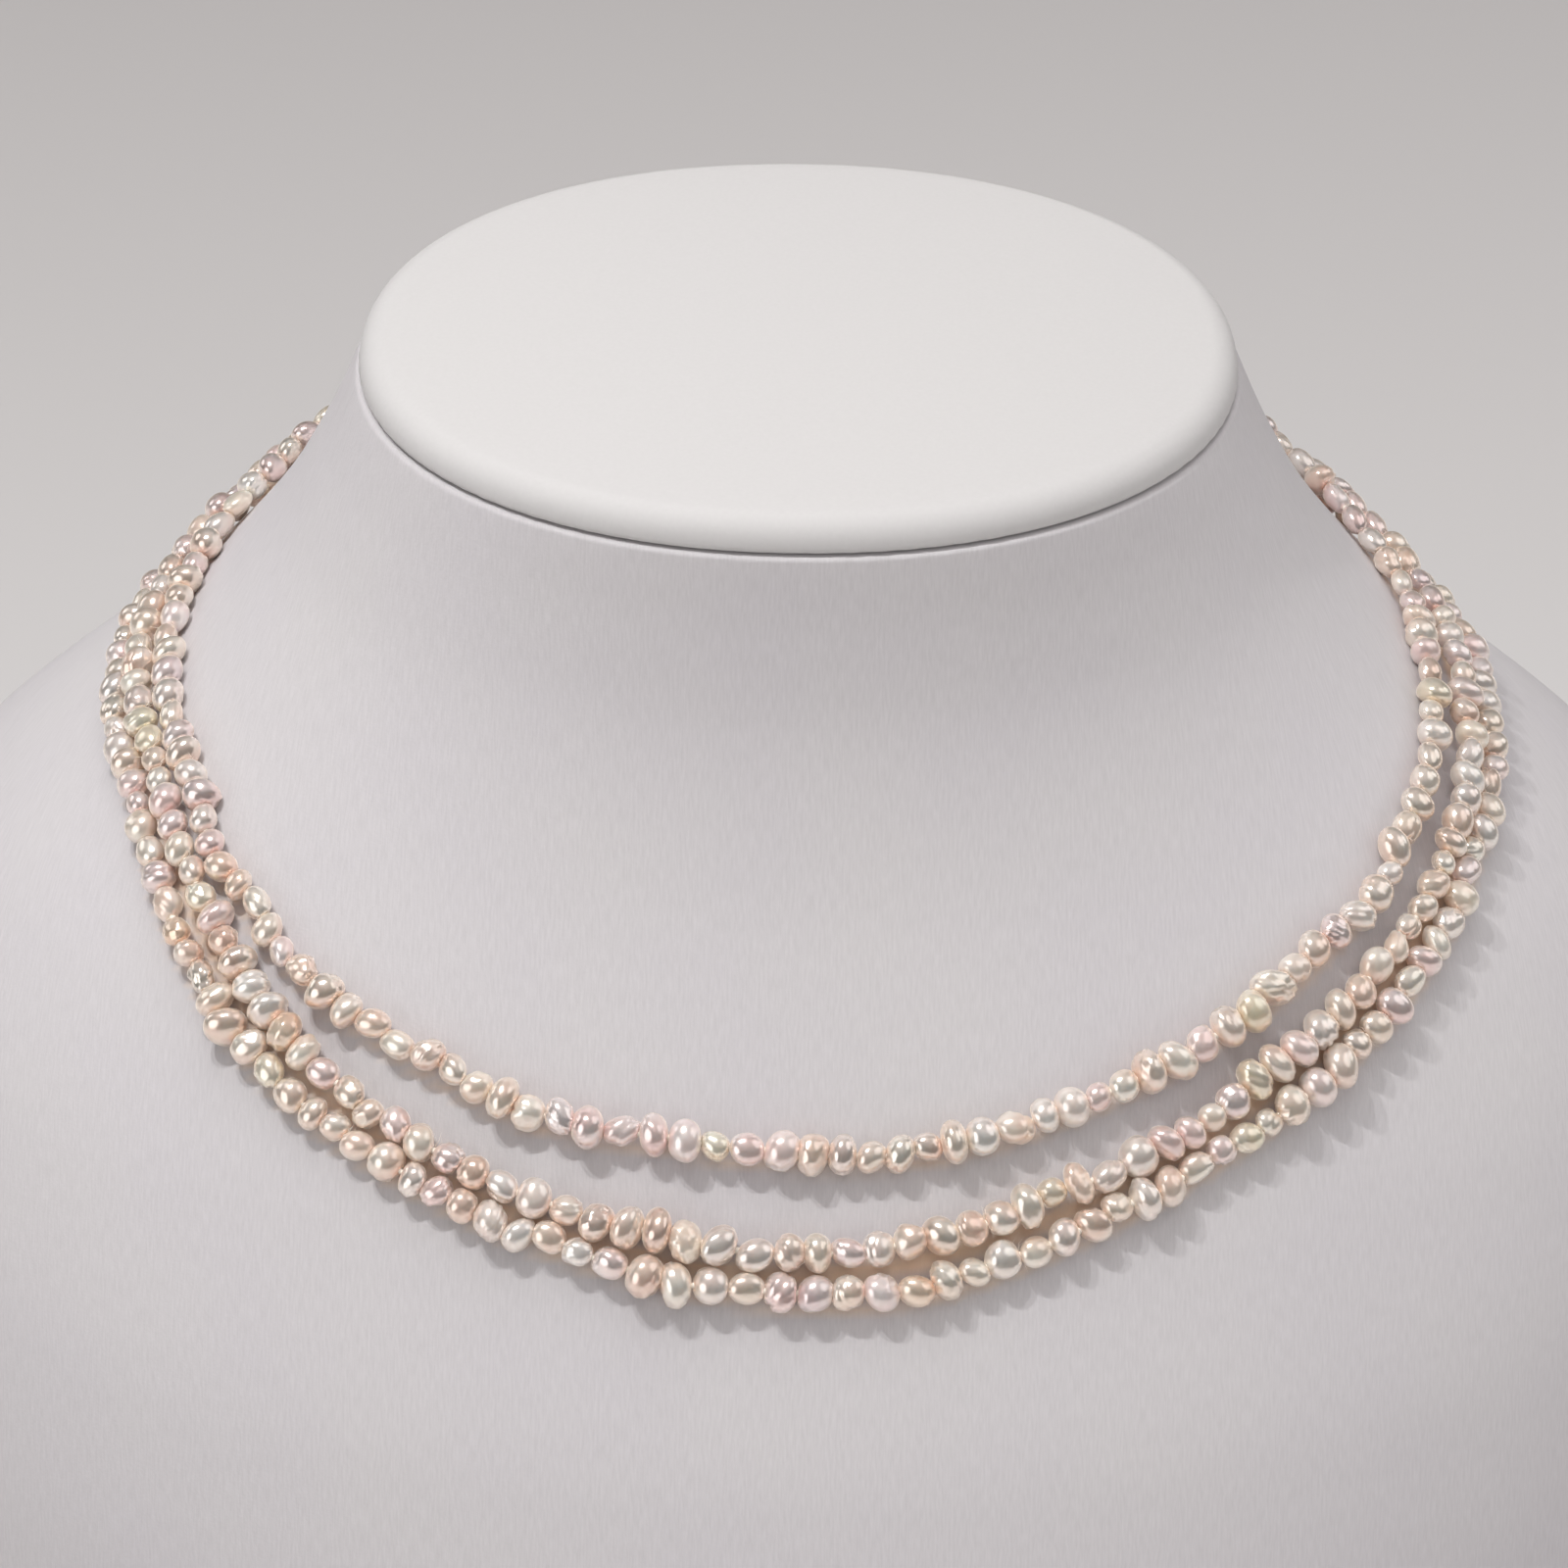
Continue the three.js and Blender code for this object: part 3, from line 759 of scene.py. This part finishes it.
def nacreMaterial():
    # freshwater nacre: thin layers of aragonite over a soft glowing body. the layers mirror the
    # surroundings a little coloured, so a pearl shows a bright rim round a darker middle
    material, tree = newMaterial("freshwater nacre")
    color = addNode(tree, "ShaderNodeAttribute", {"attribute_name": "nacre"})
    lustre = addNode(tree, "ShaderNodeAttribute", {"attribute_name": "lustre"}).outputs["Fac"]
    place = addNode(tree, "ShaderNodeTexCoord").outputs["Object"]
    # growth marks, about 0.9 mm apart
    marks = addNode(tree, "ShaderNodeTexNoise", {"Scale": 1 / (0.9 * mm), "Detail": 3, "Roughness": 0.6},
                    {"Vector": place})
    # creases about 1 mm apart, on the wrinkled patches only
    creases = addNode(tree, "ShaderNodeTexNoise", {
        "noise_type": "RIDGED_MULTIFRACTAL", "Scale": 1 / (1.1 * mm), "Detail": 2, "Roughness": 0.5,
        "Distortion": 0.6}, {"Vector": place})
    patchy = addNode(tree, "ShaderNodeMath", {"operation": "MULTIPLY"},
                     {0: creases.outputs["Fac"], 1: color.outputs["Alpha"]})
    relief = addNode(tree, "ShaderNodeMath", {"operation": "SUBTRACT"},
                     {0: marks.outputs["Fac"], 1: patchy.outputs["Value"]})
    bump = addNode(tree, "ShaderNodeBump", {"Strength": 0.4, "Distance": 0.06 * mm},
                   {"Height": relief.outputs["Value"]})
    # overtones drift over a pearl in patches of about 2 mm
    patches = addNode(tree, "ShaderNodeTexNoise", {"Scale": 1 / (2.2 * mm), "Detail": 1}, {"Vector": place})
    drift = addNode(tree, "ShaderNodeMapRange",
                    {"From Min": 0.35, "From Max": 0.65, "To Min": 0, "To Max": 0.6},
                    {"Value": patches.outputs["Fac"]})
    tone = addNode(tree, "ShaderNodeMix",
                   {"data_type": "RGBA", "blend_type": "MULTIPLY", "B": linearColor("fbf0f1")},
                   {"Factor": drift.outputs["Result"], "A": color.outputs["Color"]})
    metal = addNode(tree, "ShaderNodeMapRange", {"To Min": 0.42, "To Max": 0.74}, {"Value": lustre})
    rough = addNode(tree, "ShaderNodeMapRange", {"To Min": 0.32, "To Max": 0.20}, {"Value": lustre})
    shader = addNode(tree, "ShaderNodeBsdfPrincipled", {
        "IOR": 1.6, "Subsurface Weight": 1.0, "Subsurface Radius": (1.0, 0.94, 0.88),
        "Subsurface Scale": 2.2 * mm, "Coat Weight": 1.0, "Coat Roughness": 0.14, "Coat IOR": 2.1,
        "Sheen Weight": 1.0, "Sheen Roughness": 0.42, "Sheen Tint": linearColor("fff1e0"),
    }, {"Base Color": tone.outputs["Result"], "Metallic": metal.outputs["Result"],
        "Roughness": rough.outputs["Result"], "Normal": bump.outputs["Normal"]})
    finishMaterial(tree, shader.outputs["BSDF"])
    return material


def silkMaterial():
    # white silk thread: dull and soft, with strands of cream and white twisted about 0.2 mm apart
    material, tree = newMaterial("white silk thread")
    place = addNode(tree, "ShaderNodeTexCoord").outputs["Object"]
    twist = addNode(tree, "ShaderNodeTexNoise", {"Scale": 1 / (0.2 * mm)}, {"Vector": place})
    tone = addNode(tree, "ShaderNodeMix",
                   {"data_type": "RGBA", "A": linearColor("efe4d6"), "B": linearColor("fbf5ea")},
                   {"Factor": twist.outputs["Fac"]})
    shader = addNode(tree, "ShaderNodeBsdfPrincipled", {"Roughness": 0.6, "Sheen Weight": 0.3},
                     {"Base Color": tone.outputs["Result"]})
    finishMaterial(tree, shader.outputs["BSDF"])
    return material


def ribbedClothMaterial():
    # fine-ribbed white leatherette, matte: ribs 0.26 mm apart that run down the bust, each broken by the
    # weave about every 2 mm, and a grain of 0.4 mm
    material, tree = newMaterial("ribbed leatherette")
    place = addNode(tree, "ShaderNodeUVMap", {"uv_map": "cloth"}).outputs["UV"]
    ribPlace = addNode(tree, "ShaderNodeVectorMath", {"operation": "MULTIPLY"}, {0: place})
    ribPlace.inputs[1].default_value = (1 / (0.26 * mm), 1 / (2.2 * mm), 0)
    ribs = addNode(tree, "ShaderNodeTexNoise",
                   {"noise_dimensions": "2D", "Scale": 1.0, "Detail": 2, "Roughness": 0.6},
                   {"Vector": ribPlace.outputs["Vector"]})
    grain = addNode(tree, "ShaderNodeTexNoise",
                    {"noise_dimensions": "2D", "Scale": 1 / (0.4 * mm), "Detail": 2}, {"Vector": place})
    # the white changes faintly in clouds of about 26 mm
    cloud = addNode(tree, "ShaderNodeTexNoise",
                    {"noise_dimensions": "2D", "Scale": 1 / (26 * mm), "Detail": 3}, {"Vector": place})
    relief = addNode(tree, "ShaderNodeMath", {"operation": "ADD"},
                     {0: ribs.outputs["Fac"], 1: grain.outputs["Fac"]})
    bump = addNode(tree, "ShaderNodeBump", {"Strength": 0.30, "Distance": 0.06 * mm},
                   {"Height": relief.outputs["Value"]})
    dark = addNode(tree, "ShaderNodeMapRange", {"From Min": 0.25, "From Max": 0.75, "To Min": 0, "To Max": 1},
                   {"Value": ribs.outputs["Fac"]})
    tone = addNode(tree, "ShaderNodeMix",
                   {"data_type": "RGBA", "A": linearColor("c6c3c3"), "B": linearColor("cecbcb")},
                   {"Factor": dark.outputs["Result"]})
    wash = addNode(tree, "ShaderNodeMix",
                   {"data_type": "RGBA", "blend_type": "MULTIPLY", "B": linearColor("fbfafe")},
                   {"Factor": cloud.outputs["Fac"], "A": tone.outputs["Result"]})
    # painted light: the covering's colour is mixed to a warm tone in a line under each string, in place of
    # light that comes through the pearls
    paintedWarmth = addNode(tree, "ShaderNodeAttribute", {"attribute_name": "paintedWarmth"})
    paintedWarm = addNode(tree, "ShaderNodeMix", {"data_type": "RGBA", "B": linearColor("f3d6b6")},
                   {"Factor": paintedWarmth.outputs["Fac"], "A": wash.outputs["Result"]})
    shader = addNode(tree, "ShaderNodeBsdfPrincipled", {"Roughness": 0.72, "Specular IOR Level": 0.25},
                     {"Base Color": paintedWarm.outputs["Result"], "Normal": bump.outputs["Normal"]})
    finishMaterial(tree, shader.outputs["BSDF"])
    return material


def twillClothMaterial():
    # fine white twill over the padded cap, matte: slanted lines about 0.9 mm apart, because a wave of scale 1
    # repeats each 0.314, and a grain of 0.5 mm
    material, tree = newMaterial("white twill")
    place = addNode(tree, "ShaderNodeTexCoord").outputs["Object"]
    turned = addNode(tree, "ShaderNodeMapping", {"Rotation": (0, 0, math.radians(38))}, {"Vector": place})
    lines = addNode(tree, "ShaderNodeTexWave", {"Scale": 1 / (2.9 * mm), "Distortion": 0.5, "Detail": 1},
                    {"Vector": turned.outputs["Vector"]})
    grain = addNode(tree, "ShaderNodeTexNoise", {"Scale": 1 / (0.5 * mm), "Detail": 2}, {"Vector": place})
    relief = addNode(tree, "ShaderNodeMath", {"operation": "ADD"},
                     {0: lines.outputs["Fac"], 1: grain.outputs["Fac"]})
    bump = addNode(tree, "ShaderNodeBump", {"Strength": 0.16, "Distance": 0.05 * mm},
                   {"Height": relief.outputs["Value"]})
    tone = addNode(tree, "ShaderNodeMix",
                   {"data_type": "RGBA", "A": linearColor("c5c3c2"), "B": linearColor("cac8c7")},
                   {"Factor": grain.outputs["Fac"]})
    shader = addNode(tree, "ShaderNodeBsdfPrincipled", {"Roughness": 0.7, "Specular IOR Level": 0.25},
                     {"Base Color": tone.outputs["Result"], "Normal": bump.outputs["Normal"]})
    finishMaterial(tree, shader.outputs["BSDF"])
    return material


def silverMaterial():
    # rhodium-plated silver: bright, with level polishing lines 0.15 mm apart and about 6 mm long
    material, tree = newMaterial("plated silver")
    place = addNode(tree, "ShaderNodeTexCoord").outputs["Object"]
    lines = addNode(tree, "ShaderNodeMapping", {"Scale": (1 / (6 * mm), 1 / (6 * mm), 1 / (0.15 * mm))},
                    {"Vector": place})
    polish = addNode(tree, "ShaderNodeTexNoise", {"Scale": 1.0, "Detail": 2},
                     {"Vector": lines.outputs["Vector"]})
    rough = addNode(tree, "ShaderNodeMapRange", {"To Min": 0.22, "To Max": 0.38},
                    {"Value": polish.outputs["Fac"]})
    shader = addNode(tree, "ShaderNodeBsdfPrincipled",
                     {"Base Color": linearColor("dcdadc"), "Metallic": 1.0},
                     {"Roughness": rough.outputs["Result"]})
    finishMaterial(tree, shader.outputs["BSDF"])
    return material


def paleFloorMaterial():
    # matte painted board: pale and even, so that it shows nothing but the shadows
    material, tree = newMaterial("pale floor")
    shader = addNode(tree, "ShaderNodeBsdfPrincipled",
                     {"Base Color": linearColor("dcdad9"), "Roughness": 0.8})
    finishMaterial(tree, shader.outputs["BSDF"])
    return material


studio = {
    "floorHalf": 3.0,        # metres to each side
    "aim": (0, -45, 145),    # mm
    # for each lamp: place in mm, mm across, watts, and whether it shows in what is glossy
    "lamps": {
        "key": {"place": (-165, -95, 755), "size": 20, "power": 0.95, "shines": True},
        "keyLeft": {"place": (-250, -95, 735), "size": 20, "power": 1.15, "shines": True},
        "left": {"place": (-1000, -700, 420), "size": 900, "power": 3.05, "shines": True},
        "front": {"place": (380, -1200, 330), "size": 900, "power": 2.0, "shines": False},
        "frontHigh": {"place": (0, -700, 1150), "size": 900, "power": 1.75, "shines": False},
        "right": {"place": (1100, -400, 300), "size": 900, "power": 2.6, "shines": False},
        "rightHigh": {"place": (800, -100, 950), "size": 900, "power": 1.4, "shines": True},
        "top": {"place": (0, 200, 1300), "size": 900, "power": 4.65, "shines": False},
        "rimLeft": {"place": (-900, 420, 520), "size": 500, "power": 0.75, "shines": True},
        "rimRight": {"place": (900, 420, 560), "size": 500, "power": 0.6, "shines": True},
    },
    "worldLow": "3e3a3a",    # the dim room round the bust
    "worldHigh": "a39c9b",   # its paler ceiling
    "climb": (0.35, 1.0),    # height of the direction looked in, from the one to the other
}


def makeFloor():
    # one flat square with its middle under the bust
    half = studio["floorHalf"]
    corners = np.array([[-half, -half, 0], [half, -half, 0], [half, half, 0], [-half, half, 0]])
    floor = makeMesh("floor", corners, [[0, 1, 2, 3]])
    floor.data.materials.append(paleFloorMaterial())


def makeLamps():
    # round area lamps, all turned to the same point of the chest
    aim = Vector(studio["aim"]) * mm
    for name, light in studio["lamps"].items():
        data = bpy.data.lights.new(name, "AREA")
        data.shape = "DISK"
        data.size = light["size"] * mm
        data.energy = light["power"]
        lamp = bpy.data.objects.new(name, data)
        lamp.location = Vector(light["place"]) * mm
        lamp.rotation_euler = (aim - lamp.location).to_track_quat("-Z", "Y").to_euler()
        lamp.visible_glossy = light["shines"]
        bpy.context.scene.collection.objects.link(lamp)


def makeRoom():
    # dim at the sides and pale overhead: a ramp on the height of the direction looked in
    world = bpy.data.worlds.new("studio")
    world.use_nodes = True
    tree = world.node_tree
    tree.nodes.clear()
    way = addNode(tree, "ShaderNodeTexCoord")
    parts = addNode(tree, "ShaderNodeSeparateXYZ", None, {"Vector": way.outputs["Generated"]})
    low, high = studio["climb"]
    climb = addNode(tree, "ShaderNodeMapRange",
                    {"From Min": low, "From Max": high, "interpolation_type": "SMOOTHSTEP"},
                    {"Value": parts.outputs["Z"]})
    tone = addNode(tree, "ShaderNodeMix", {"data_type": "RGBA", "A": linearColor(studio["worldLow"]),
                                           "B": linearColor(studio["worldHigh"])},
                   {"Factor": climb.outputs["Result"]})
    glow = addNode(tree, "ShaderNodeBackground", None, {"Color": tone.outputs["Result"]})
    addNode(tree, "ShaderNodeOutputWorld", None, {"Surface": glow.outputs["Background"]})
    bpy.context.scene.world = world
    bpy.context.scene.view_settings.view_transform = "Standard"


makeFloor()
makeLamps()
makeRoom()
print("studio made")
makeBustBody().data.materials.append(ribbedClothMaterial())
makeBustCap().data.materials.append(twillClothMaterial())
print("bust made")
laid = layStrings()
nacreFinish, silkFinish = nacreMaterial(), silkMaterial()
for stringName, laidString in laid.items():
    makePearls(stringName, laidString).data.materials.append(nacreFinish)
    makeThread(stringName, laidString).data.materials.append(silkFinish)
    makeFuzz(stringName, laidString).data.materials.append(silkFinish)
    print("string", stringName, "of", laidString["count"], "pearls made")
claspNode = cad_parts["clasp"]
claspNode.data.materials.clear()
claspNode.data.materials.append(silverMaterial())
print("clasp finished")
